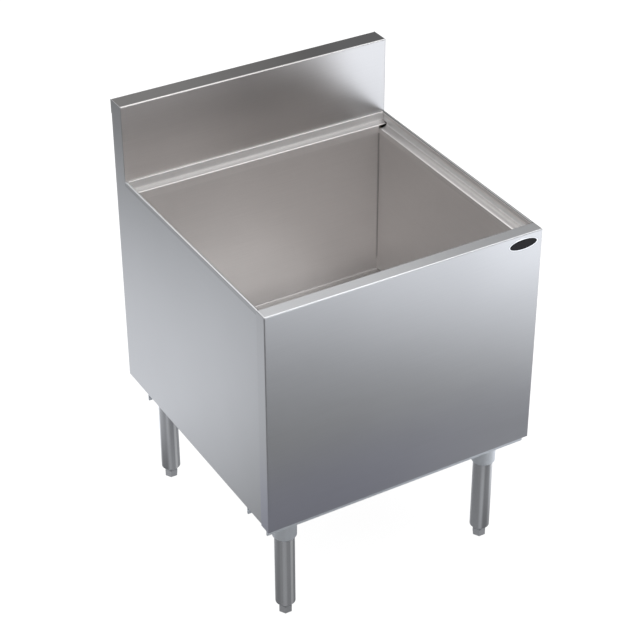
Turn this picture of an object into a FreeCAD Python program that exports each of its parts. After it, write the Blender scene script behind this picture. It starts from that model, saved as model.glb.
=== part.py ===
import FreeCAD, Part
import math
import os

# Underbar ice bin: an insulated box of folded stainless sheet with an open ice well, a backsplash, a drain
# and four levelling legs. Millimetres. The origin is on the floor, below the middle of the box. +Z is up and
# the front faces -Y.

# Overall sizes
width = 610.0
depth = 616.0
rim_height = 767.0
front_height = 497.5
splash_height = 165.0
splash_depth = 44.0

# Sheet metal: thickness, outer radius of a bend, and the hollow fold that runs along the side and rear rims
sheet = 1.2
bend_radius = 2.4
fold_width = 5.5

# Rim: the flat front, then the ledges that stand below it round the other three sides
front_rim_depth = 29.5
side_band = 23.0
rear_band = 17.0
side_ledge_drop = 29.0
rear_ledge_drop = 22.5
ledge_cove = 9.0
lip_depth = 12.0
rear_slot = 3.0

# Ice well
well_depth = 381.0
well_bend = 4.0

# Flanges and returns of the outer panels
front_bottom_return = 13.0
side_lift = 2.5
side_flange = 18.0
rear_return = 15.0
splash_return = 30.0
back_panel_return = 15.0
pan_lip = 15.0

# Cross channels below the box
channel_sheet = 2.0
channel_width = 79.0
channel_height = 20.5
channel_front_setback = 14.5
channel_rear_setback = 6.0
channel_end_inset = 3.5
channel_corner_radius = 2.0
rear_flange_setback = 25.0

# Legs
leg_side_inset = 67.0
leg_offset = 5.0
tube_radius = 20.65
tube_wall = 1.2
socket_radius = 25.2
socket_length = 74.0
socket_chamfer = 4.5
socket_taper = 3.6

# Levelling feet
foot_flats = 25.4
foot_height = 16.0
foot_travel = 25.0
stem_radius = 7.9
stem_engaged = 20.0
nose_height = 10.0

# Drain
pipe_radius = 16.7
pipe_wall = 3.4
pipe_drop = 30.0
outlet_length = 25.0
outlet_cut = 0.3
drain_flange_radius = 38.0
drain_flange_height = 4.0
strainer_radius = 31.0
strainer_height = 1.2
strainer_recess = 2.0
strainer_border = 6.0
strainer_slots = 5
slot_width = 4.0
slot_pitch = 9.0
locknut_flats = 52.0
locknut_height = 9.0

# Clearances: parts that lie together, running and slip fits, foam to metal, and pipes through sheet. An
# outline's edge that is shorter than the shortest is left out.
fit_gap = 0.3
running_gap = 0.05
slip_gap = 0.1
foam_gap = 0.5
pipe_gap = 0.5
shortest_edge = 1e-6

# Places that the pieces share
side_x = width / 2
front_y = -depth / 2
back_y = depth / 2
rim_z = rim_height
front_bottom_z = rim_z - front_height
side_bottom_z = front_bottom_z + side_lift
splash_top_z = rim_z + splash_height
splash_y = back_y - splash_depth
ear_return_z = splash_top_z - splash_return - fit_gap
back_panel_y = back_y - sheet
fold_radius = fold_width / 2
drop_wall_x = side_x - fold_width
well_x = side_x - side_band
well_front_y = front_y + front_rim_depth
well_back_y = splash_y - rear_band
well_middle_y = (well_front_y + well_back_y) / 2
side_ledge_z = rim_z - side_ledge_drop
rear_ledge_z = rim_z - rear_ledge_drop
lip_z = side_ledge_z - lip_depth
well_floor_z = rim_z - well_depth
pan_bottom_z = side_bottom_z + sheet
pan_x = side_x - sheet - fit_gap
pan_front_y = front_y + bend_radius + fit_gap
pan_back_y = back_panel_y - sheet - fit_gap
foam_bottom_z = pan_bottom_z + sheet + foam_gap
foam_x = pan_x - bend_radius
web_bottom_z = side_bottom_z - channel_sheet
channel_bottom_z = side_bottom_z - channel_height
channel_x = side_x - channel_end_inset
front_channel_y = front_y + channel_front_setback
rear_channel_y = back_y - channel_rear_setback - channel_width
leg_axis_x = side_x - leg_side_inset
front_leg_y = front_channel_y + channel_width / 2 + leg_offset
rear_leg_y = rear_channel_y + channel_width / 2 + leg_offset
nose_z = foot_height
tube_bottom_z = nose_z + nose_height
stem_length = foot_travel + stem_engaged
pipe_bore = pipe_radius - pipe_wall
locknut_top_z = well_floor_z - sheet
pipe_end_z = front_bottom_z - pipe_drop
drain_top_z = well_floor_z + drain_flange_height
strainer_z = drain_top_z - strainer_recess
nose_tip_radius = foot_flats / 2

UP = FreeCAD.Vector(0, 0, 1)
ORIGIN = FreeCAD.Vector(0, 0, 0)

legs = {
    "front_left": (-leg_axis_x, front_leg_y),
    "front_right": (leg_axis_x, front_leg_y),
    "rear_left": (-leg_axis_x, rear_leg_y),
    "rear_right": (leg_axis_x, rear_leg_y),
}


# Profiles: closed outlines of (u, v, corner radius), drawn in a plane and extruded square to it

def corner_points(before, corner, after, radius):
    """Where a rounded corner starts, its middle, and where it ends."""
    into = (corner - before).normalize()
    out = (after - corner).normalize()
    half_turn = into.getAngle(out) / 2
    reach = radius * math.tan(half_turn)
    start = corner - into * reach
    end = corner + out * reach
    inward = (out - into).normalize()
    middle = corner + inward * (radius / math.cos(half_turn) - radius)
    return start, middle, end


def outline_face(corners, place):
    """A flat face with straight sides and round corners. place turns (u, v) into a point."""
    points = [place(u, v) for u, v, radius in corners]
    count = len(points)
    edges = []
    ends = []
    for index, (u, v, radius) in enumerate(corners):
        if radius == 0:
            ends.append((points[index], points[index]))
            continue
        before = points[index - 1]
        after = points[(index + 1) % count]
        start, middle, end = corner_points(before, points[index], after, radius)
        ends.append((start, end))
        edges.append(Part.Arc(start, middle, end).toShape())
    for index in range(count):
        start = ends[index][1]
        end = ends[(index + 1) % count][0]
        if start.distanceToPoint(end) > shortest_edge:
            edges.append(Part.LineSegment(start, end).toShape())
    return Part.Face(Part.Wire(Part.__sortEdges__(edges)))


def along_x(corners, start, end):
    """Extrudes a (y, z) outline along X."""
    face = outline_face(corners, lambda u, v: FreeCAD.Vector(start, u, v))
    return face.extrude(FreeCAD.Vector(end - start, 0, 0))


def along_y(corners, start, end):
    """Extrudes an (x, z) outline along Y."""
    face = outline_face(corners, lambda u, v: FreeCAD.Vector(u, start, v))
    return face.extrude(FreeCAD.Vector(0, end - start, 0))


def along_z(corners, start, end):
    """Extrudes an (x, y) outline along Z."""
    face = outline_face(corners, lambda u, v: FreeCAD.Vector(u, v, start))
    return face.extrude(FreeCAD.Vector(0, 0, end - start))


def bent_sheet(path, thickness):
    """The outline of a bent sheet. path is one face as (u, v, bend radius), with the metal on its left."""
    count = len(path)
    headings = []
    for (u0, v0, _), (u1, v1, _) in zip(path, path[1:]):
        length = math.hypot(u1 - u0, v1 - v0)
        headings.append(((u1 - u0) / length, (v1 - v0) / length))
    inner = []
    for index, (u, v, radius) in enumerate(path):
        du0, dv0 = headings[max(index - 1, 0)]
        du1, dv1 = headings[min(index, count - 2)]
        share = thickness / (1 + du0 * du1 + dv0 * dv1)
        left_turn = du0 * dv1 - dv0 * du1 > 0
        inner_radius = 0 if radius == 0 else radius - thickness if left_turn else radius + thickness
        inner.append((u - (dv0 + dv1) * share, v + (du0 + du1) * share, inner_radius))
    return list(path) + inner[::-1]


# Shared solids

def block(low, high):
    """A plain block between two corners."""
    size = high - low
    return Part.makeBox(size.x, size.y, size.z, low)


def base_edges(solid):
    """The edges round the bottom of a block."""
    return [e for e in solid.Edges if e.BoundBox.ZMax < solid.BoundBox.ZMin + fit_gap]


def front_edges(solid):
    """The edges round the front of a block, and the two that run back from its top corners."""
    box = solid.BoundBox
    front = [e for e in solid.Edges if e.BoundBox.YMax < box.YMin + fit_gap]
    top = [e for e in solid.Edges if e.BoundBox.ZMin > box.ZMax - fit_gap]
    return front + [e for e in top if e.BoundBox.XLength < fit_gap]


def tray(low, high, axis, bends):
    """A folded tray, open at the high end of axis. bends picks the bent edges of a block."""
    inner_low = FreeCAD.Vector(low.x + sheet, low.y + sheet, low.z + sheet)
    inner_high = FreeCAD.Vector(high.x - sheet, high.y - sheet, high.z - sheet)
    setattr(inner_high, axis, getattr(high, axis) + bend_radius)
    outside = block(low, high)
    inside = block(inner_low, inner_high)
    hollow = inside.makeFillet(bend_radius - sheet, bends(inside))
    return outside.makeFillet(bend_radius, bends(outside)).cut(hollow)


def round_bar(radius, low_z, high_z, x=0.0, y=0.0):
    """An upright round bar."""
    return Part.makeCylinder(radius, high_z - low_z, FreeCAD.Vector(x, y, low_z), UP)


def vertex_radius(flats):
    """From the middle of a hexagon to its vertex."""
    return flats / math.sqrt(3)


def hexagon_bar(flats, low_z, high_z, x=0.0, y=0.0):
    """An upright hexagonal bar with a vertex on the X axis. flats is the size across its flats."""
    reach = vertex_radius(flats)
    angles = [math.radians(60 * corner) for corner in range(6)]
    corners = [(x + reach * math.cos(a), y + reach * math.sin(a), 0) for a in angles]
    return along_z(corners, low_z, high_z)


def turned(profile, x=0.0, y=0.0):
    """A solid of revolution about an upright axis. profile is a closed outline of (radius, z) points."""
    points = [FreeCAD.Vector(r, 0, z) for r, z in profile]
    face = Part.Face(Part.makePolygon(points + points[:1]))
    solid = face.revolve(ORIGIN, UP, 360)
    solid.translate(FreeCAD.Vector(x, y, 0))
    return solid


def turned_ring(bore, radius, low_z, high_z, x=0.0, y=0.0):
    """An upright round sleeve."""
    return turned([(bore, low_z), (radius, low_z), (radius, high_z), (bore, high_z)], x, y)


def mirrored(shape):
    """The same piece on the other side of the box."""
    return shape.mirror(ORIGIN, FreeCAD.Vector(1, 0, 0))


def for_each_leg(make):
    """The same piece at each of the legs."""
    return Part.makeCompound([make(x, y) for x, y in legs.values()])


# Outer panels

def front_panel():
    low = FreeCAD.Vector(-side_x, front_y, front_bottom_z)
    high = FreeCAD.Vector(side_x, well_front_y, rim_z)
    panel = tray(low, high, "y", front_edges)
    inner_x = side_x - bend_radius
    behind_return = FreeCAD.Vector(-inner_x, front_y + front_bottom_return, front_bottom_z)
    return_end = FreeCAD.Vector(inner_x, well_front_y, front_bottom_z + bend_radius)
    panel = panel.cut(block(behind_return, return_end))
    bend_start_y = well_front_y - bend_radius
    rear_edge = FreeCAD.Vector(-inner_x, bend_start_y, rim_z - bend_radius)
    panel = panel.cut(block(rear_edge, FreeCAD.Vector(inner_x, well_front_y, rim_z)))
    lip_path = [(well_front_y, lip_z, 0), (well_front_y, rim_z, bend_radius), (bend_start_y, rim_z, 0)]
    return panel.fuse(along_x(bent_sheet(lip_path, sheet), -inner_x, inner_x)).removeSplitter()


def right_side_panel():
    fold_start_z = rim_z - fold_width
    skirt_path = [
        (side_x - side_flange, side_bottom_z, 0),
        (side_x, side_bottom_z, bend_radius),
        (side_x, fold_start_z, 0),
    ]
    rim_path = [
        (side_x, fold_start_z, 0),
        (side_x, rim_z, fold_radius),
        (drop_wall_x, rim_z, fold_radius),
        (drop_wall_x, side_ledge_z, ledge_cove),
        (well_x, side_ledge_z, bend_radius),
        (well_x, lip_z, 0),
    ]
    ear_path = [
        (side_x, splash_y, 0),
        (side_x, back_y, bend_radius),
        (side_x - rear_return, back_y, 0),
    ]
    skirt = along_y(bent_sheet(skirt_path, sheet), well_front_y, back_y - bend_radius)
    rim = along_y(bent_sheet(rim_path, sheet), well_front_y, splash_y)
    # The rear end of the ledge and its cove is cut away below the rear rim, which leaves an open slot
    notch_low = FreeCAD.Vector(well_x + bend_radius, well_back_y - rear_slot, lip_z)
    notch_high = FreeCAD.Vector(drop_wall_x + sheet, splash_y, side_ledge_z + ledge_cove)
    rim = rim.cut(block(notch_low, notch_high))
    ear = along_z(bent_sheet(ear_path, sheet), side_bottom_z + bend_radius, ear_return_z)
    ear_top_low = FreeCAD.Vector(side_x - sheet, splash_y, ear_return_z)
    ear_top = block(ear_top_low, FreeCAD.Vector(side_x, back_y, splash_top_z))
    return skirt.fuse([rim, ear, ear_top]).removeSplitter()


def rear_rim():
    path = [
        (splash_y, rear_ledge_z, 0),
        (splash_y, rim_z, fold_radius),
        (splash_y - fold_width, rim_z, fold_radius),
        (splash_y - fold_width, rear_ledge_z, ledge_cove),
        (well_back_y, rear_ledge_z, bend_radius),
        (well_back_y, lip_z, 0),
    ]
    end_x = drop_wall_x - fit_gap
    strip = along_x(bent_sheet(path, sheet), -end_x, end_x)
    # The lip goes down between the side ledges only
    lip_low = FreeCAD.Vector(well_x - fit_gap, well_back_y - bend_radius, lip_z - bend_radius)
    lip_high = FreeCAD.Vector(side_x, well_back_y + bend_radius, rear_ledge_z - sheet)
    lip_end = block(lip_low, lip_high)
    return strip.cut(lip_end).cut(mirrored(lip_end)).removeSplitter()


def backsplash():
    path = [
        (back_y, splash_top_z - splash_return, 0),
        (back_y, splash_top_z, bend_radius),
        (splash_y, splash_top_z, bend_radius),
        (splash_y, rear_ledge_z, 0),
    ]
    return along_x(bent_sheet(path, sheet), sheet - side_x, side_x - sheet)


def back_panel():
    path = [
        (back_panel_y - back_panel_return, side_bottom_z, 0),
        (back_panel_y, side_bottom_z, bend_radius),
        (back_panel_y, splash_top_z - bend_radius, 0),
    ]
    inner_x = side_x - side_flange - fit_gap
    outer_x = side_x - bend_radius
    panel = along_x(bent_sheet(path, sheet), -outer_x, outer_x)
    notch_low = FreeCAD.Vector(inner_x, back_panel_y - back_panel_return, side_bottom_z)
    notch_high = FreeCAD.Vector(outer_x, back_panel_y, pan_bottom_z + bend_radius)
    notch = block(notch_low, notch_high)
    return panel.cut(notch).cut(mirrored(notch))


def bottom_pan():
    low = FreeCAD.Vector(-pan_x, pan_front_y, pan_bottom_z)
    high = FreeCAD.Vector(pan_x, pan_back_y, pan_bottom_z + pan_lip)
    hole = round_bar(pipe_radius + pipe_gap, pan_bottom_z, pan_bottom_z + pan_lip, 0, well_middle_y)
    return tray(low, high, "z", base_edges).cut(hole)


# Liner of the ice well

def liner_wrap():
    path = [
        (well_back_y, lip_z, 0),
        (well_back_y, well_floor_z, well_bend),
        (well_front_y, well_floor_z, well_bend),
        (well_front_y, lip_z, 0),
    ]
    wrap = along_x(bent_sheet(path, sheet), -well_x, well_x)
    return wrap.cut(round_bar(pipe_radius + pipe_gap, well_floor_z - sheet, well_floor_z, 0, well_middle_y))


def right_liner_end():
    outline = [
        (well_front_y - sheet, lip_z, 0),
        (well_front_y - sheet, well_floor_z - sheet, well_bend + sheet),
        (well_back_y + sheet, well_floor_z - sheet, well_bend + sheet),
        (well_back_y + sheet, lip_z, 0),
    ]
    return along_x(outline, well_x, well_x + sheet)


# Insulation boards

def front_foam():
    low = FreeCAD.Vector(-foam_x, pan_front_y + bend_radius, foam_bottom_z)
    return block(low, FreeCAD.Vector(foam_x, well_front_y - sheet - foam_gap, rim_z - bend_radius))


def back_foam():
    low = FreeCAD.Vector(-foam_x, well_back_y + sheet + foam_gap, foam_bottom_z)
    return block(low, FreeCAD.Vector(foam_x, pan_back_y - bend_radius, lip_z - foam_gap))


def right_foam():
    low = FreeCAD.Vector(well_x + sheet + foam_gap, well_front_y - sheet, foam_bottom_z)
    return block(low, FreeCAD.Vector(foam_x, well_back_y + sheet, lip_z - foam_gap))


def floor_foam():
    low = FreeCAD.Vector(-well_x - sheet, well_front_y - sheet, foam_bottom_z)
    top_z = well_floor_z - sheet - foam_gap
    board = block(low, FreeCAD.Vector(well_x + sheet, well_back_y + sheet, top_z))
    nut_reach = vertex_radius(locknut_flats) + foam_gap
    return board.cut(round_bar(nut_reach, foam_bottom_z, top_z, 0, well_middle_y))


# Cross channels and legs

def channel(start_y, flange_ends=()):
    end_y = start_y + channel_width
    outer_radius = bend_radius + channel_sheet
    path = [
        (end_y, channel_bottom_z, 0),
        (end_y, side_bottom_z, outer_radius),
        (start_y, side_bottom_z, outer_radius),
        (start_y, channel_bottom_z, 0),
    ]
    solid = along_x(bent_sheet(path, channel_sheet), -channel_x, channel_x)
    for corner in flange_ends:
        solid = solid.cut(corner).cut(mirrored(corner))
    ends = [e for e in solid.Edges if e.BoundBox.XLength < fit_gap]
    lower_corners = [e for e in ends if e.BoundBox.ZMax < channel_bottom_z + fit_gap]
    return solid.makeFillet(channel_corner_radius, lower_corners)


def rear_flange_end():
    """The end of the rear channel's back flange, which is cut short of the side panel."""
    end_y = rear_channel_y + channel_width
    inner_x = channel_x - rear_flange_setback
    low = FreeCAD.Vector(inner_x, end_y - channel_sheet, channel_bottom_z)
    return block(low, FreeCAD.Vector(side_x, end_y, web_bottom_z - bend_radius))


def leg_socket(x, y):
    bore = tube_radius + slip_gap
    bottom_z = web_bottom_z - socket_length
    profile = [
        (bore, web_bottom_z),
        (socket_radius, web_bottom_z),
        (socket_radius, bottom_z + socket_chamfer),
        (socket_radius - socket_taper, bottom_z),
        (bore, bottom_z),
    ]
    return turned(profile, x, y)


def leg_tube(x, y):
    return turned_ring(tube_radius - tube_wall, tube_radius, tube_bottom_z, web_bottom_z - fit_gap, x, y)


def foot_insert(x, y):
    bore = stem_radius + running_gap
    plug_radius = tube_radius - tube_wall - running_gap
    top_z = foot_height + stem_length
    profile = [
        (bore, nose_z),
        (nose_tip_radius, nose_z),
        (tube_radius, tube_bottom_z),
        (plug_radius, tube_bottom_z),
        (plug_radius, top_z),
        (bore, top_z),
    ]
    return turned(profile, x, y)


def foot(x, y):
    hexagon = hexagon_bar(foot_flats, 0, foot_height, x, y)
    stem = round_bar(stem_radius, foot_height, foot_height + stem_length, x, y)
    return hexagon.fuse(stem).removeSplitter()


# Drain of the ice well

def drain_body():
    """A flange that seats the strainer, and a pipe with its end turned smaller for a thread or hose."""
    outlet_radius = pipe_radius - outlet_cut
    shoulder_z = pipe_end_z + outlet_length
    seat_radius = strainer_radius + fit_gap
    profile = [
        (pipe_bore, pipe_end_z),
        (outlet_radius, pipe_end_z),
        (outlet_radius, shoulder_z),
        (pipe_radius, shoulder_z),
        (pipe_radius, well_floor_z),
        (drain_flange_radius, well_floor_z),
        (drain_flange_radius, well_floor_z + drain_flange_height / 4),
        (seat_radius + strainer_recess, drain_top_z),
        (seat_radius, drain_top_z),
        (seat_radius, strainer_z),
        (pipe_bore, strainer_z),
    ]
    return turned(profile, 0, well_middle_y)


def drain_strainer():
    disc = round_bar(strainer_radius, strainer_z, strainer_z + strainer_height, 0, well_middle_y)
    for step in range(strainer_slots):
        offset = (step - (strainer_slots - 1) / 2) * slot_pitch
        reach = math.sqrt((strainer_radius - strainer_border) ** 2 - offset ** 2)
        low = FreeCAD.Vector(offset - slot_width / 2, well_middle_y - reach, strainer_z)
        disc = disc.cut(block(low, low + FreeCAD.Vector(slot_width, 2 * reach, strainer_height)))
    return disc


def drain_locknut():
    low_z = locknut_top_z - locknut_height
    nut = hexagon_bar(locknut_flats, low_z, locknut_top_z, 0, well_middle_y)
    return nut.cut(round_bar(pipe_radius + running_gap, low_z, locknut_top_z, 0, well_middle_y))


pieces = {
    "front_panel": front_panel(),
    "right_side_panel": right_side_panel(),
    "left_side_panel": mirrored(right_side_panel()),
    "rear_rim": rear_rim(),
    "backsplash": backsplash(),
    "back_panel": back_panel(),
    "bottom_pan": bottom_pan(),
    "liner_wrap": liner_wrap(),
    "right_liner_end": right_liner_end(),
    "left_liner_end": mirrored(right_liner_end()),
    "front_foam": front_foam(),
    "back_foam": back_foam(),
    "right_foam": right_foam(),
    "left_foam": mirrored(right_foam()),
    "floor_foam": floor_foam(),
    "front_channel": channel(front_channel_y),
    "rear_channel": channel(rear_channel_y, [rear_flange_end()]),
    "leg_sockets": for_each_leg(leg_socket),
    "leg_tubes": for_each_leg(leg_tube),
    "foot_inserts": for_each_leg(foot_insert),
    "drain_body": drain_body(),
    "drain_strainer": drain_strainer(),
    "drain_locknut": drain_locknut(),
}
for place, (x, y) in legs.items():
    pieces["foot_" + place] = foot(x, y)

os.makedirs("parts", exist_ok=True)
for name, shape in pieces.items():
    shape.exportStep("parts/" + name + ".step")
    print(name, len(shape.Solids), shape.isValid(), round(shape.Volume / 1000, 3))
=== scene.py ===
import math

import bmesh
import bpy
from mathutils import Matrix, Vector


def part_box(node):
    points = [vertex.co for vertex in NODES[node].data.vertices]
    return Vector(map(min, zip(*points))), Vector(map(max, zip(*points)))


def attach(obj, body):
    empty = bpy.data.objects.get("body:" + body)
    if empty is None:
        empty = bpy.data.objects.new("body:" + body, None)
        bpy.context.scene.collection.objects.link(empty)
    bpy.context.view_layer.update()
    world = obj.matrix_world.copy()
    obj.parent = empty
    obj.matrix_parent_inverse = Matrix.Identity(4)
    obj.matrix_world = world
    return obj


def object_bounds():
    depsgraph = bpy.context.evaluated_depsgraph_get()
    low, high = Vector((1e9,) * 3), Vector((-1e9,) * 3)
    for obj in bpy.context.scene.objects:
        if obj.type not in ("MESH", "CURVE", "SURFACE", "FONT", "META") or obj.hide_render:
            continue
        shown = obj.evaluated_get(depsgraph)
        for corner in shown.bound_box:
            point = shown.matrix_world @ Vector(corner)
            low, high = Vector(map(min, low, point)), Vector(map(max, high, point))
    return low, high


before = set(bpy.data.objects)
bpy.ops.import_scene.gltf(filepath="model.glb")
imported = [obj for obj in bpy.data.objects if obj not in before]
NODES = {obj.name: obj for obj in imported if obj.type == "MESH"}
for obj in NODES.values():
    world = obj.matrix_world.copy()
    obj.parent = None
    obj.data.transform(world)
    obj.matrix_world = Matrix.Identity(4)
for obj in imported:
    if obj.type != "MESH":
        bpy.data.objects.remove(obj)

# Underbar ice bin: satin stainless sheet round an open well, with plain channels and tubular legs below it.
# Metres, in the part's own frame, with the front towards -Y.

CAD_BOX = [list(corner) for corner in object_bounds()]
CABINET = "cabinet"
FEET = ["foot_front_left", "foot_front_right", "foot_rear_left", "foot_rear_right"]
FOAMS = ["front_foam", "back_foam", "left_foam", "right_foam", "floor_foam"]

# Camera, solved from the corners of the box in the picture: degrees, and millimetres for the lens and sensor
CAMERA_PLACE = (-1.63262, -2.77141, 2.62409)
CAMERA_AZIMUTH = -30.3581
CAMERA_ELEVATION = 33.6397
CAMERA_ROLL = -0.1292
CAMERA_LENS = 106.268
SENSOR_WIDTH = 36.0

# Places taken from the part
SIDE_X = CAD_BOX[1][0]
FRONT_Y = CAD_BOX[0][1]
BACK_Y = CAD_BOX[1][1]
SPLASH_TOP = CAD_BOX[1][2]
RIM_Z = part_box("front_panel")[1][2]
WELL_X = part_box("liner_wrap")[1][0]
WELL_BACK_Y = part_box("rear_rim")[0][1]
LIP_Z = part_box("rear_rim")[0][2]
SPLASH_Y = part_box("backsplash")[0][1]

# Sizes that the part's source has too, where a bend's size is its outer radius
SHEET = 0.0012
BEND = 0.0024
FOLD_WIDTH = 0.0055
SIDE_LEDGE_DROP = 0.029
REAR_LEDGE_DROP = 0.0225
SOCKET_RADIUS = 0.0252
FOOT_TRAVEL = 0.025

# Places on the folded sheets
DROP_WALL_X = SIDE_X - FOLD_WIDTH
SIDE_LEDGE_Z = RIM_Z - SIDE_LEDGE_DROP
REAR_LEDGE_Z = RIM_Z - REAR_LEDGE_DROP
WELL_FLOOR_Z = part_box("liner_wrap")[0][2] + SHEET
RIM_MIDDLE_Y = FRONT_Y + 0.015
RECESS_X = DROP_WALL_X + SHEET / 2

# Tints of the metals, as factors for red, green and blue
COOL = (0.985, 0.995, 1.02)
WARM = (1.02, 0.995, 0.985)
ZINC = (0.955, 0.995, 1.04)
# The last tint is a painted bluish reflection of the floor, for the foot of the front
REFLECTED_BLUE = (0.955, 0.965, 1.10)

# Grain of the steel: scale of the scratches across and along it, their strength, and scale of the clouds
SCRATCH_ACROSS = 1400.0
SCRATCH_ALONG = 9.0
SCRATCH_STRENGTH = 0.12
CLOUD_SCALE = 5.0

# Changes of the roughness: the rear rim's fold and edge, the recess of the side panels and its inner edge
REAR_POLISH = -0.12
RECESS_DULLING = 0.22
EDGE_POLISH = -0.2

# Zones of the steel, mostly of painted light and shade, that fade from one place to another
FRONT_BEND_X = (-0.30, 0.25)
FRONT_RIM_X = (-0.20, 0.30)
FRONT_CORNER_X = (0.05, 0.30)
FRONT_CORNER_Z = (0.55, RIM_Z)
FRONT_FOOT_X = (-0.15, 0.30)
FRONT_FOOT_Z = (0.30, 0.50)
SPLASH_LEFT_X = (-0.30, 0.10)
SPLASH_RIGHT_X = (0.10, 0.26)
SPLASH_TOP_X = (-0.10, 0.30)
SPLASH_Z = (RIM_Z, SPLASH_TOP)
REAR_LEDGE_X = (-0.10, 0.28)
SIDE_LEDGE_X = (WELL_X + BEND, WELL_X + 0.010)
SIDE_REAR_Y = (-0.05, 0.25)
EAR_Z = (0.70, SPLASH_TOP)
LINER_DIM_X = (-0.05, 0.26)
LINER_DIM_Z = (0.40, 0.58)
# Painted shade down the rear corners of the well: the distance from the end walls over which it fades out,
# and the ranges of y and height in which it fades in
CORNER_SHADE_WIDTH = (0.0015, 0.004)
CORNER_SHADE_Y = (WELL_BACK_Y - 0.0035, WELL_BACK_Y - 0.001)
CORNER_SHADE_Z = (0.405, 0.425)

# Limits where zones of the steel start or end. The second number is half the width over which they do so,
# and where there is none it is EDGE_SOFTNESS
EDGE_SOFTNESS = 0.0004
REAR_DROP_FOOT = (REAR_LEDGE_Z + 0.005, 0.003)
REAR_LEDGE_TOP = (REAR_LEDGE_Z + 0.005, 0.002)
SIDE_WALL_FOOT = (SIDE_LEDGE_Z + 0.005, 0.004)
SIDE_COVE_TOP = (SIDE_LEDGE_Z + 0.014, 0.008)
SIDE_CORNER_TOP = (SIDE_LEDGE_Z + 0.006, 0.003)
SIDE_CORNER_FOOT = SIDE_LEDGE_Z + 0.001
SIDE_LEDGE_TOP = (SIDE_LEDGE_Z + 0.004, 0.003)
FOLD_SHADE_TOP = RIM_Z - 0.0045
FOLD_SHADE_FOOT = RIM_Z - 0.010
WELL_FLOOR_TOP = (WELL_FLOOR_Z + 0.002, 0.001)
WELL_FLOOR_EDGE = (WELL_BACK_Y - 0.05, 0.01)

# Painted reflections as streaks down the leg tubes: the way each faces, half its width as an angle, and its
# tones on the legs at the front left, front right, rear left and rear right
TUBE_REFLECTIONS = (
    ((0.24, -0.97, 0.0), 0.20, (2.1, 1.0, 2.0, 1.0)),
    ((-0.50, -0.86, 0.0), 0.30, (1.35, 1.35, 1.2, 1.35)),
    ((-0.05, -1.0, 0.0), 0.45, (1.0, 0.62, 1.0, 0.62)),
    ((-0.90, -0.44, 0.0), 0.60, (1.0, 1.0, 0.55, 1.0)),
    ((-0.945, -0.328, 0.0), 0.35, (0.8, 1.0, 1.0, 1.0)),
    ((-0.97, 0.24, 0.0), 0.16, (1.5, 1.5, 1.5, 1.5)),
)

# Badge: a bare oval plate near the right top corner of the front. Each ring of its rim and of its sunk field
# is an inset from the outline and how far it stands off the panel
BADGE_X = SIDE_X - 0.0443
BADGE_Z = RIM_Z - 0.0213
BADGE_SIZE = (0.0666, 0.0250)
BADGE_STEPS = 72
BADGE_RIM = ((0.0, -0.0002), (0.0001, 0.0002), (0.0004, 0.0003), (0.0014, 0.0003), (0.0018, 0.0002))
BADGE_FIELD = ((0.0018, 0.0002), (0.0021, 0.00015), (0.0055, 0.00018), (0.0090, 0.0002))

# Hexagon heads below the channels: how far from the ends and to both sides of the middle, and their form.
# Profiles of screws are pairs of shares of the radius and the height
SCREW_INSET = 0.010
SCREW_SPREAD = 0.018
HEAD_RADIUS = 0.0058
HEAD_HEIGHT = 0.0036
HEAD_SIDES = 6
HEAD_WASHER = ((1.18, 0.0), (1.18, 0.16))
HEAD_CROWN = ((0.95, 0.2), (1.0, 0.22), (1.0, 0.85), (0.86, 1.0))
ROUND_STEPS = 24

# Set screws in the leg sockets: how far below the socket's top and sunk into its wall, and their form
SET_SCREW_DROP = 0.048
SET_SCREW_SINK = 0.001
SET_SCREW_RADIUS = 0.004
SET_SCREW_HEIGHT = 0.00256
SET_SCREW_PROFILE = ((1.0, 0.0), (1.0, 0.8125), (0.86, 1.0), (0.52, 1.0), (0.5, 0.5625))

# The floor lies just below the lowest reach of the levelling feet, so that no pose drives them through it
FLOOR_GAP = 0.0005
FLOOR_Z = -FOOT_TRAVEL - FLOOR_GAP
FLOOR_REACH = 12.0

# Tones of the floor: the grey that takes the shadow, and the white glow with its share and its tint in metal
FLOOR_GREY = 0.8
FLOOR_WHITE = 1.18
FLOOR_WHITE_SHARE = 0.8
FLOOR_TINT = (0.965, 0.99, 1.035)

# Edges of the picture on the floor: lower, right and left. Each has the slopes of a sum of x and y that
# grows inwards, that sum at the edge, and how far beyond it the white fades out
PICTURE_EDGES = (
    (0.59, 1.0, 0.42, 1.15),
    (-1.0, 0.794, -0.874, 0.25),
    (1.0, -0.411, -0.76, 1.30),
)

# Beyond the picture the floor is dim. It glows to the front right, in a range of x less y, and fades again
# far to the right
FLOOR_DIM = 0.19
FLOOR_GLOW = 2.1
GLOW_RANGE = (1.28, 2.42)
GLOW_FAR_X = (1.6, 2.3)
GLOW_FAR_SHARE = 0.42

# Shade of the floor under the object, and how far round it that fades out
UNDER_SHADE = 0.3
UNDER_RANGE = (0.0, 0.22)

# Soft boxes: name, place, width and height, and how bright each looks
LAMPS = (
    ("front_box", (1.05, -1.40, 2.40), (0.9, 0.9), 5.0),
    ("back_box", (-1.54, 1.73, 1.40), (0.6, 0.4), 1.8),
)
LAMP_AIM = (0, 0, 0.75)

# Sky, upwards, backwards and to the right: the range in which its brightness changes, and its start and end
SKY_UP = (0.2, 0.9, 0.3, 1.6)
SKY_BACK = (-0.7, 0.6, 0.45, 1.05)
SKY_RIGHT = (0.2, 0.8, 1.25, 0.35)


# Node helpers

def feed(tree, socket, value):
    """Links a socket to another, or sets its value."""
    if isinstance(value, bpy.types.NodeSocket):
        tree.links.new(value, socket)
    else:
        socket.default_value = value


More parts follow.
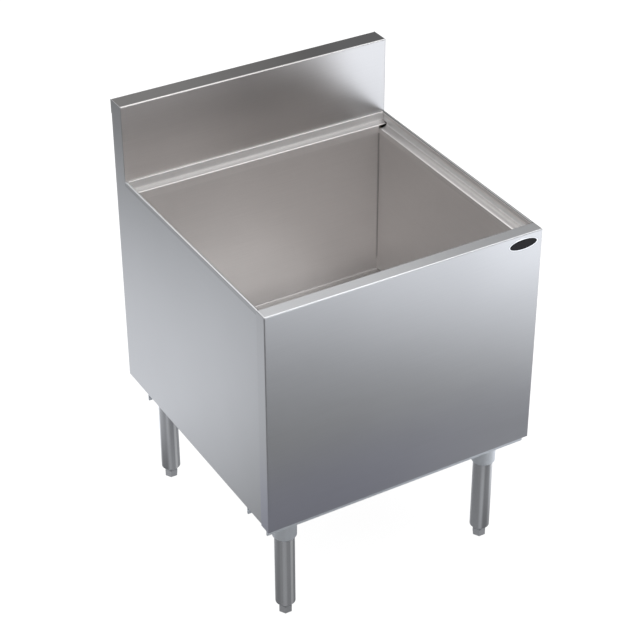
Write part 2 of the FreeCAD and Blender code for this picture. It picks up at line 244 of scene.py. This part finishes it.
def add(tree, kind, settings=None, inputs=None):
    """Adds a node. Inputs are values or sockets, by the names or numbers of the node's own inputs."""
    made = tree.nodes.new(kind)
    for key, value in (settings or {}).items():
        setattr(made, key, value)
    for key, value in (inputs or {}).items():
        feed(tree, made.inputs[key], value)
    return made


def maths(tree, operation, first, second=0.0):
    """One sum of the Math node."""
    return add(tree, "ShaderNodeMath", {"operation": operation}, {0: first, 1: second}).outputs[0]


def remap(tree, value, low, high, to_low=0.0, to_high=1.0):
    """Takes a value from one range to another, with soft ends."""
    settings = {"interpolation_type": "SMOOTHSTEP"}
    inputs = {0: value, 1: low, 2: high, 3: to_low, 4: to_high}
    return add(tree, "ShaderNodeMapRange", settings, inputs).outputs[0]


def mix_colour(tree, factor, first, second, blend="MIX"):
    """A mix of two colours, or another blend of them."""
    settings = {"data_type": "RGBA", "blend_type": blend}
    return add(tree, "ShaderNodeMix", settings, {0: factor, 6: first, 7: second}).outputs[2]


def noise(tree, place, scale, detail):
    """Slow or fine noise, from none to one."""
    inputs = {"Vector": place, "Scale": scale, "Detail": detail}
    return add(tree, "ShaderNodeTexNoise", None, inputs).outputs[0]


def object_place(tree):
    """The point on the surface, in metres of the part's frame."""
    return add(tree, "ShaderNodeTexCoord").outputs["Object"]


def split(tree, vector):
    """The three parts of a vector."""
    return list(add(tree, "ShaderNodeSeparateXYZ", None, {0: vector}).outputs)


def shade_of(level, tint=(1.0, 1.0, 1.0)):
    """A grey with a tint, as red, green, blue and alpha."""
    return (level * tint[0], level * tint[1], level * tint[2], 1.0)


def new_material(name):
    """A material with its node tree and its shader."""
    made = bpy.data.materials.new(name)
    made.use_nodes = True
    tree = made.node_tree
    return made, tree, tree.nodes["Principled BSDF"]


def set_bump(tree, shader, height, strength, distance):
    """Fine relief on a material, from a texture."""
    inputs = {"Strength": strength, "Distance": distance, "Height": height}
    feed(tree, shader.inputs["Normal"], add(tree, "ShaderNodeBump", None, inputs).outputs[0])


# Materials

def steel(name, level, roughness, grain, tint=COOL, cloud=0.06, look=None):
    """Satin steel. Fine scratches run along the grain axis, and slow clouds lie in the polish. From the
    place on the part, look gives a factor for the colour, a change of the roughness and shares of other
    tints."""
    made, tree, shader = new_material(name)
    place = object_place(tree)
    stretch = [SCRATCH_ALONG if axis == grain else SCRATCH_ACROSS for axis in "XYZ"]
    drawn = add(tree, "ShaderNodeMapping", None, {"Vector": place, "Scale": stretch}).outputs[0]
    scratches = noise(tree, drawn, scale=1.0, detail=3.0)
    clouds = noise(tree, place, scale=CLOUD_SCALE, detail=2.0)
    fine = maths(tree, "MULTIPLY", maths(tree, "SUBTRACT", scratches, 0.5), SCRATCH_STRENGTH)
    slow = maths(tree, "MULTIPLY", maths(tree, "SUBTRACT", clouds, 0.5), cloud)
    factor = maths(tree, "ADD", maths(tree, "ADD", fine, slow), 1.0)
    rough = maths(tree, "ADD", fine, roughness)
    shade = shade_of(level, tint)
    if look:
        tone, rougher, tints = look(tree, *split(tree, place))
        factor = maths(tree, "MULTIPLY", factor, tone)
        rough = maths(tree, "ADD", rough, rougher)
        for share, other in tints:
            shade = mix_colour(tree, share, shade, shade_of(level, other))
    greys = add(tree, "ShaderNodeCombineColor", None, {0: factor, 1: factor, 2: factor}).outputs[0]
    feed(tree, shader.inputs["Base Color"], mix_colour(tree, 1.0, greys, shade, "MULTIPLY"))
    feed(tree, shader.inputs["Roughness"], rough)
    set_bump(tree, shader, scratches, strength=0.05, distance=0.0002)
    shader.inputs["Metallic"].default_value = 1.0
    return made


def foam_board():
    """Rigid yellowish foam with small cells."""
    made, tree, shader = new_material("foam_board")
    inputs = {"Vector": object_place(tree), "Scale": 600.0}
    cells = add(tree, "ShaderNodeTexVoronoi", None, inputs).outputs["Distance"]
    light = (0.84, 0.79, 0.60, 1.0)
    dark = (0.72, 0.65, 0.44, 1.0)
    feed(tree, shader.inputs["Base Color"], mix_colour(tree, cells, light, dark))
    set_bump(tree, shader, cells, strength=0.4, distance=0.0005)
    shader.inputs["Roughness"].default_value = 0.9
    return made


def black_enamel():
    """Glossy black with a faint orange peel."""
    made, tree, shader = new_material("black_enamel")
    peel = noise(tree, object_place(tree), scale=900.0, detail=1.0)
    dark = (0.010, 0.010, 0.012, 1.0)
    light = (0.018, 0.018, 0.021, 1.0)
    feed(tree, shader.inputs["Base Color"], mix_colour(tree, peel, dark, light))
    set_bump(tree, shader, peel, strength=0.1, distance=0.0002)
    shader.inputs["Roughness"].default_value = 0.4
    shader.inputs["Specular IOR Level"].default_value = 0.12
    return made


# Looks of the steel on single pieces, from the place on the part: mostly painted light and shade

def above(tree, value, limit, soft=EDGE_SOFTNESS):
    """One above a limit and none below it."""
    return remap(tree, value, limit - soft, limit + soft)


def below(tree, value, limit, soft=EDGE_SOFTNESS):
    """One below a limit and none above it."""
    return remap(tree, value, limit - soft, limit + soft, 1.0, 0.0)


def overlap(tree, *parts):
    """One where all the parts are one."""
    shared = parts[0]
    for part in parts[1:]:
        shared = maths(tree, "MULTIPLY", shared, part)
    return shared


def toned(tree, *zones):
    """The factor for a colour. Each zone is where it lies and its own factor there."""
    factor = 1.0
    for where, level in zones:
        factor = maths(tree, "MULTIPLY", factor, remap(tree, where, 0.0, 1.0, 1.0, level))
    return factor


def front_look(tree, x, y, z):
    """The bend along the top carries a painted highlight, most at the left. The rim behind it has a little
    painted light, and painted shade that grows to the right. The lip inside the well is as bright and warm
    as the liner. The face has a painted highlight in its upper right corner and a painted bluish reflection
    at its foot."""
    high = above(tree, z, RIM_Z - BEND)
    face = below(tree, y, FRONT_Y + BEND)
    bend = overlap(tree, high, face, remap(tree, x, *FRONT_BEND_X, 1.0, 0.2))
    rim = overlap(tree, high, above(tree, y, FRONT_Y + BEND))
    # Painted shade on the rim, growing towards the right
    shaded_rim = overlap(tree, rim, remap(tree, x, *FRONT_RIM_X))
    aside = maths(tree, "ABSOLUTE", x)
    inside = overlap(tree, above(tree, y, RIM_MIDDLE_Y), below(tree, aside, DROP_WALL_X))
    lip = overlap(tree, inside, below(tree, z, RIM_Z - BEND))
    corner = overlap(tree, remap(tree, x, *FRONT_CORNER_X), remap(tree, z, *FRONT_CORNER_Z), face)
    # Painted bluish reflection at the foot of the face, most at the left
    foot = overlap(tree, remap(tree, z, *FRONT_FOOT_Z, 1.0, 0.0), remap(tree, x, *FRONT_FOOT_X, 1.0, 0.3))
    tone = toned(tree, (bend, 1.42), (rim, 1.07), (shaded_rim, 0.77), (lip, 1.6), (corner, 1.12))
    return tone, 0.0, ((foot, REFLECTED_BLUE), (lip, WARM))


def splash_look(tree, x, y, z):
    """The top of the splash has painted shade, most at the right, and the bend to the face a painted
    highlight.
    The face is warm, with painted light at the left and painted shade towards its upper edge. Its right end
    is plain."""
    high = above(tree, z, SPLASH_TOP - BEND)
    top = overlap(tree, high, above(tree, y, SPLASH_Y + BEND))
    top_right = overlap(tree, top, remap(tree, x, *SPLASH_TOP_X))
    bend = overlap(tree, high, below(tree, y, SPLASH_Y + BEND))
    leftward = remap(tree, x, *SPLASH_LEFT_X, 1.0, 0.0)
    warmth = remap(tree, x, *SPLASH_RIGHT_X, 1.0, 0.35)
    # The painted shade above and painted light below on the face fade out towards its right end
    dull = remap(tree, x, *SPLASH_RIGHT_X, 1.0, 0.0)
    upper = overlap(tree, dull, remap(tree, z, *SPLASH_Z))
    lower = overlap(tree, dull, remap(tree, z, *SPLASH_Z, 1.0, 0.0))
    face = ((leftward, 1.3), (upper, 0.78), (lower, 1.05))
    return toned(tree, (top, 0.30), (top_right, 0.66), (bend, 1.12), *face), 0.0, ((warmth, WARM),)


def rear_rim_look(tree, x, y, z):
    """The fold and the inner edge of the ledge are polished, with painted highlights. The drop wall has
    painted light, the ledge painted shade that grows to the right, and the lip is as bright as the liner."""
    fold = above(tree, z, RIM_Z - BEND)
    inside = below(tree, y, WELL_BACK_Y + BEND)
    edge = overlap(tree, inside, above(tree, z, REAR_LEDGE_Z - BEND))
    lip = overlap(tree, inside, below(tree, z, REAR_LEDGE_Z - BEND))
    drop = overlap(tree, above(tree, z, *REAR_DROP_FOOT), below(tree, z, RIM_Z - BEND))
    ledge = overlap(tree, below(tree, z, *REAR_LEDGE_TOP), above(tree, y, WELL_BACK_Y + BEND))
    # Painted shade on the ledge, growing towards the right
    shaded_ledge = overlap(tree, ledge, remap(tree, x, *REAR_LEDGE_X))
    zones = ((fold, 1.05), (edge, 1.2), (lip, 1.42), (drop, 1.66), (ledge, 0.90), (shaded_ledge, 0.88))
    polish = maths(tree, "MULTIPLY", maths(tree, "ADD", fold, edge), REAR_POLISH)
    return toned(tree, *zones), polish, ()


def recess_zones(tree, aside, y, z, recess):
    """Painted light and shade in the recess of a side panel: the drop wall, the cove below it, the corner at
    the foot of the cove, the ledge and its inner part, and all of these towards the rear."""
    wall = overlap(tree, recess, above(tree, z, *SIDE_WALL_FOOT))
    cove = overlap(tree, wall, below(tree, z, *SIDE_COVE_TOP))
    corner = overlap(tree, recess, above(tree, z, SIDE_CORNER_FOOT), below(tree, z, *SIDE_CORNER_TOP))
    ledge = overlap(tree, recess, below(tree, z, *SIDE_LEDGE_TOP))
    inner = overlap(tree, ledge, remap(tree, aside, *SIDE_LEDGE_X, 1.0, 0.0))
    rear = overlap(tree, recess, remap(tree, y, *SIDE_REAR_Y))
    return (wall, 1.84), (cove, 1.16), (corner, 1.09), (ledge, 0.80), (inner, 1.22), (rear, 1.18)


def side_look(tree, x, y, z):
    """The recess inside the fold is rougher and warmer, and mostly lighter from painted light. The inner
    edge of its ledge is polished, with a painted highlight, and the lip below is bright. The left fold has a
    painted highlight and the right one painted shade, less towards the rear, with painted shade below both.
    The ears beside the splash have painted shade that grows towards their tops."""
    aside = maths(tree, "ABSOLUTE", x)
    high = above(tree, z, LIP_Z - BEND)
    forward = below(tree, y, SPLASH_Y)
    recess = overlap(tree, high, below(tree, aside, RECESS_X), forward)
    inside = overlap(tree, high, below(tree, aside, WELL_X + BEND), forward)
    edge = overlap(tree, inside, above(tree, z, SIDE_LEDGE_Z - BEND))
    lip = overlap(tree, inside, below(tree, z, SIDE_LEDGE_Z - BEND))
    shade = overlap(tree, above(tree, z, FOLD_SHADE_FOOT), below(tree, z, FOLD_SHADE_TOP), forward)
    ear = remap(tree, z, *EAR_Z)
    fold = overlap(tree, above(tree, z, RIM_Z - BEND), forward)
    left_fold = overlap(tree, fold, below(tree, x, 0.0))
    right_fold = overlap(tree, fold, above(tree, x, 0.0))
    right_rear = overlap(tree, right_fold, remap(tree, y, *SIDE_REAR_Y))
    folds = ((left_fold, 1.14), (right_fold, 0.5), (right_rear, 1.3))
    others = ((edge, 1.26), (lip, 1.54), (shade, 0.80), (ear, 0.88))
    tone = toned(tree, *recess_zones(tree, aside, y, z, recess), *others, *folds)
    rougher = maths(tree, "MULTIPLY", recess, RECESS_DULLING)
    polish = maths(tree, "MULTIPLY", edge, EDGE_POLISH)
    return tone, maths(tree, "ADD", rougher, polish), ((recess, WARM),)


def liner_look(tree, x, y, z):
    """Painted shade runs down the rear corners of the well and fades near the floor. The floor has painted
    shade too, most along the back, and so do the walls low down at the left."""
    from_end = maths(tree, "SUBTRACT", WELL_X, maths(tree, "ABSOLUTE", x))
    near = remap(tree, from_end, *CORNER_SHADE_WIDTH, 1.0, 0.0)
    corner_shade = overlap(tree, near, remap(tree, y, *CORNER_SHADE_Y), remap(tree, z, *CORNER_SHADE_Z))
    floor = below(tree, z, *WELL_FLOOR_TOP)
    floor_edge = overlap(tree, floor, above(tree, y, *WELL_FLOOR_EDGE))
    dim = overlap(tree, remap(tree, z, *LINER_DIM_Z, 1.0, 0.0), remap(tree, x, *LINER_DIM_X, 1.0, 0.0))
    return toned(tree, (corner_shade, 0.72), (floor, 0.85), (floor_edge, 0.75), (dim, 0.82)), 0.0, ()


def tube_look(tree, x, y, z):
    """Painted reflections run down the tubes as streaks, narrow and wide bands round them."""
    normal = add(tree, "ShaderNodeTexCoord").outputs["Normal"]
    right = above(tree, x, 0.0)
    rear = above(tree, y, 0.0)
    tone = 1.0
    for way, width, (front_left, front_right, rear_left, rear_right) in TUBE_REFLECTIONS:
        towards = add(tree, "ShaderNodeVectorMath", {"operation": "DOT_PRODUCT"}, {0: normal, 1: way})
        facing = towards.outputs["Value"]
        left_level = remap(tree, rear, 0.0, 1.0, front_left, rear_left)
        right_level = remap(tree, rear, 0.0, 1.0, front_right, rear_right)
        level = remap(tree, right, 0.0, 1.0, left_level, right_level)
        tone = maths(tree, "MULTIPLY", tone, remap(tree, facing, math.cos(width), 1.0, 1.0, level))
    return tone, 0.0, ()


def assign(material, *names):
    """Gives CAD nodes a material."""
    for name in names:
        mesh = NODES[name].data
        mesh.materials.clear()
        mesh.materials.append(material)


def dress_nodes():
    """Materials of the CAD nodes. Each steel has its grey level, its roughness and the axis of its grain."""
    assign(steel("front_steel", 0.492, 0.34, "X", look=front_look), "front_panel")
    assign(steel("rear_rim_steel", 0.62, 0.56, "X", WARM, look=rear_rim_look), "rear_rim")
    assign(steel("splash_steel", 0.62, 0.34, "X", look=splash_look), "backsplash")
    assign(steel("side_steel", 0.52, 0.34, "Y", look=side_look), "left_side_panel", "right_side_panel")
    assign(steel("liner_steel", 0.84, 0.42, "X", WARM, look=liner_look), "liner_wrap")
    end_steel = steel("liner_end_steel", 0.84, 0.42, "Y", WARM, look=liner_look)
    assign(end_steel, "left_liner_end", "right_liner_end")
    assign(steel("galvanised_sheet", 0.42, 0.5, "X", cloud=0.3), "back_panel", "bottom_pan")
    assign(steel("channel_steel", 0.85, 0.55, "X", ZINC, cloud=0.15), "front_channel", "rear_channel")
    assign(steel("socket_steel", 0.86, 0.42, "Z", ZINC), "leg_sockets")
    assign(steel("leg_tube_steel", 0.62, 0.24, "Z", look=tube_look), "leg_tubes")
    assign(steel("foot_metal", 0.70, 0.36, "Z"), "foot_inserts", *FEET)
    assign(steel("drain_metal", 0.50, 0.30, "X"), "drain_body", "drain_strainer", "drain_locknut")
    assign(foam_board(), *FOAMS)


# New pieces

def new_piece(name, form, materials):
    """A finished mesh that moves with the cabinet."""
    mesh = bpy.data.meshes.new(name)
    form.to_mesh(mesh)
    form.free()
    piece = bpy.data.objects.new(name, mesh)
    for material in materials:
        mesh.materials.append(material)
    bpy.context.scene.collection.objects.link(piece)
    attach(piece, CABINET)


def oval(count, half_width, half_height):
    """Points round an oval, as pairs of their places along its width and its height."""
    angles = [2 * math.pi * step / count for step in range(count)]
    return [(half_width * math.cos(angle), half_height * math.sin(angle)) for angle in angles]


def join_rings(form, rings, material_index=0):
    """Faces between rings of vertices, one after the other."""
    for lower, upper in zip(rings, rings[1:]):
        count = len(lower)
        for index in range(count):
            after = (index + 1) % count
            face = form.faces.new((lower[index], lower[after], upper[after], upper[index]))
            face.material_index = material_index
            face.smooth = True


def turned(form, place, profile, count, radius, height):
    """A closed form of rings with count corners, one ring for each pair of the profile, along local +Z."""
    rings = []
    for scale, up in profile:
        points = oval(count, radius * scale, radius * scale)
        rings.append([form.verts.new(place @ Vector((x, y, height * up))) for x, y in points])
    join_rings(form, rings)
    form.faces.new(rings[0][::-1])
    form.faces.new(rings[-1])


def badge_rings(form, profile):
    """Oval rings of vertices on the front, one for each pair of the profile."""
    rings = []
    for inset, proud in profile:
        points = oval(BADGE_STEPS, BADGE_SIZE[0] / 2 - inset, BADGE_SIZE[1] / 2 - inset)
        rings.append([form.verts.new((BADGE_X + x, FRONT_Y - proud, BADGE_Z + z)) for x, z in points])
    return rings


def make_badge():
    """An oval plate: a polished rim round a sunk black field, with nothing on it."""
    form = bmesh.new()
    rim = badge_rings(form, BADGE_RIM)
    join_rings(form, rim)
    form.faces.new(rim[0])
    field = badge_rings(form, BADGE_FIELD)
    join_rings(form, field, 1)
    middle = form.faces.new(field[-1])
    middle.material_index = 1
    bmesh.ops.remove_doubles(form, verts=form.verts, dist=1e-6)
    bmesh.ops.recalc_face_normals(form, faces=form.faces)
    new_piece("badge", form, [steel("badge_rim", 0.92, 0.3, "X"), black_enamel()])


def hexagon_head(form, place):
    """A hexagonal screw head with a washer face and a chamfered crown. It grows along local +Z."""
    turned(form, place, HEAD_WASHER, ROUND_STEPS, HEAD_RADIUS, HEAD_HEIGHT)
    turned(form, place, HEAD_CROWN, HEAD_SIDES, HEAD_RADIUS, HEAD_HEIGHT)


def make_channel_screws(material):
    """Hexagon heads below the ends of both channels, on the face that the leg sockets stand against."""
    down = Matrix.Rotation(math.pi, 4, "X")
    web_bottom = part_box("leg_sockets")[1][2]
    for name in ("front_channel", "rear_channel"):
        low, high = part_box(name)
        middle = (low[1] + high[1]) / 2
        form = bmesh.new()
        for x in (low[0] + SCREW_INSET, high[0] - SCREW_INSET):
            for y in (middle - SCREW_SPREAD, middle + SCREW_SPREAD):
                hexagon_head(form, Matrix.Translation((x, y, web_bottom)) @ down)
        new_piece(name + "_screws", form, [material])


def make_set_screws(material):
    """Set screws with a hollow in their ends, on the inner side of each leg socket."""
    low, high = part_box("leg_sockets")
    form = bmesh.new()
    for x in (low[0] + 2 * SOCKET_RADIUS, high[0] - 2 * SOCKET_RADIUS):
        for y in (low[1] + SOCKET_RADIUS, high[1] - SOCKET_RADIUS):
            inward = -math.copysign(1.0, x)
            foot = Matrix.Translation((x - inward * SET_SCREW_SINK, y, high[2] - SET_SCREW_DROP))
            place = foot @ Matrix.Rotation(inward * math.pi / 2, 4, "Y")
            turned(form, place, SET_SCREW_PROFILE, ROUND_STEPS, SET_SCREW_RADIUS, SET_SCREW_HEIGHT)
    new_piece("leg_set_screws", form, [material])


# Studio

def make_camera():
    """The camera at the picture's place."""
    azimuth = math.radians(CAMERA_AZIMUTH)
    elevation = math.radians(CAMERA_ELEVATION)
    back = Vector((
        math.sin(azimuth) * math.cos(elevation),
        -math.cos(azimuth) * math.cos(elevation),
        math.sin(elevation),
    ))
    right = Vector((0, 0, 1)).cross(back).normalized()
    level = Matrix((right, back.cross(right), back)).transposed()
    turn = Matrix.Rotation(math.radians(CAMERA_ROLL), 3, "Z")
    lens = bpy.data.cameras.new("camera")
    lens.lens = CAMERA_LENS
    lens.sensor_width = SENSOR_WIDTH
    camera = bpy.data.objects.new("camera", lens)
    camera.matrix_world = Matrix.Translation(CAMERA_PLACE) @ (level @ turn).to_4x4()
    bpy.context.scene.collection.objects.link(camera)
    bpy.context.scene.camera = camera


def picture_mask(tree, x, y):
    """One on the floor that the picture shows, fading out beyond its edges."""
    mask = 1.0
    for slope_x, slope_y, start, fade in PICTURE_EDGES:
        across = maths(tree, "MULTIPLY", x, slope_x)
        inward = maths(tree, "ADD", across, maths(tree, "MULTIPLY", y, slope_y))
        mask = maths(tree, "MULTIPLY", mask, remap(tree, inward, start - fade, start))
    return mask


def floor_strength(tree, camera_ray):
    """How bright the floor looks. It is white to the camera. To metal it is white inside the picture, shaded
    under the object, and beyond the picture dim at first and bright to the front right."""
    x, y = split(tree, object_place(tree))[:2]
    glow = remap(tree, maths(tree, "SUBTRACT", x, y), *GLOW_RANGE, FLOOR_DIM, FLOOR_GLOW)
    beyond = maths(tree, "MULTIPLY", glow, remap(tree, x, *GLOW_FAR_X, 1.0, GLOW_FAR_SHARE))
    aside = maths(tree, "SUBTRACT", maths(tree, "ABSOLUTE", x), SIDE_X)
    ahead = maths(tree, "SUBTRACT", maths(tree, "ABSOLUTE", y), BACK_Y)
    shade = remap(tree, maths(tree, "MAXIMUM", aside, ahead), *UNDER_RANGE, UNDER_SHADE, 1.0)
    shade = maths(tree, "MAXIMUM", shade, camera_ray)
    white = maths(tree, "MULTIPLY", shade, FLOOR_WHITE)
    lit = maths(tree, "MAXIMUM", picture_mask(tree, x, y), camera_ray)
    return remap(tree, lit, 0.0, 1.0, beyond, white)


def floor_material():
    """Pale and dull, so that it keeps the object's shadow, with a white glow to the camera and in metal."""
    made, tree, shader = new_material("floor_pale")
    tree.nodes.remove(shader)
    path = add(tree, "ShaderNodeLightPath").outputs
    camera_ray = path["Is Camera Ray"]
    reflected = maths(tree, "MAXIMUM", path["Is Glossy Ray"], path["Is Transmission Ray"])
    seen = maths(tree, "MAXIMUM", reflected, camera_ray)
    share = maths(tree, "MULTIPLY", seen, FLOOR_WHITE_SHARE)
    colour = mix_colour(tree, camera_ray, shade_of(1.0, FLOOR_TINT), shade_of(1.0))
    light = {"Color": colour, "Strength": floor_strength(tree, camera_ray)}
    white = add(tree, "ShaderNodeEmission", None, light).outputs[0]
    dull = add(tree, "ShaderNodeBsdfDiffuse", None, {"Color": shade_of(FLOOR_GREY)}).outputs[0]
    mixed = add(tree, "ShaderNodeMixShader", None, {0: share, 1: dull, 2: white})
    tree.links.new(mixed.outputs[0], tree.nodes["Material Output"].inputs["Surface"])
    return made


def make_floor():
    """A wide flat floor below the feet."""
    form = bmesh.new()
    bmesh.ops.create_grid(form, x_segments=1, y_segments=1, size=FLOOR_REACH)
    mesh = bpy.data.meshes.new("floor")
    form.to_mesh(mesh)
    form.free()
    mesh.materials.append(floor_material())
    floor = bpy.data.objects.new("floor", mesh)
    floor.location.z = FLOOR_Z
    bpy.context.scene.collection.objects.link(floor)


def make_lamp(name, place, size, radiance):
    """A soft lamp that points at the object. Its power follows from its size and how bright it looks."""
    light = bpy.data.lights.new(name, "AREA")
    light.shape = "RECTANGLE"
    light.size, light.size_y = size
    light.energy = radiance * math.pi * size[0] * size[1]
    lamp = bpy.data.objects.new(name, light)
    lamp.location = place
    lamp.rotation_euler = (Vector(LAMP_AIM) - Vector(place)).to_track_quat("-Z", "Y").to_euler()
    lamp.visible_camera = False
    bpy.context.scene.collection.objects.link(lamp)


def make_world():
    """A soft sky: darker low down, brighter overhead and to the back left. The camera sees it white."""
    world = bpy.data.worlds.new("studio")
    bpy.context.scene.world = world
    world.use_nodes = True
    tree = world.node_tree
    background = tree.nodes["Background"]
    x, y, z = split(tree, add(tree, "ShaderNodeTexCoord").outputs["Generated"])
    up_and_back = maths(tree, "MULTIPLY", remap(tree, z, *SKY_UP), remap(tree, y, *SKY_BACK))
    sky = maths(tree, "MULTIPLY", up_and_back, remap(tree, x, *SKY_RIGHT))
    camera_ray = add(tree, "ShaderNodeLightPath").outputs["Is Camera Ray"]
    feed(tree, background.inputs["Color"], shade_of(1.0))
    feed(tree, background.inputs["Strength"], maths(tree, "MAXIMUM", sky, camera_ray))


dress_nodes()
make_badge()
fastener = steel("fastener_steel", 0.40, 0.32, "Z")
make_channel_screws(fastener)
make_set_screws(fastener)
make_camera()
make_floor()
for lamp_row in LAMPS:
    make_lamp(*lamp_row)
make_world()
bpy.context.scene.view_settings.view_transform = "Standard"
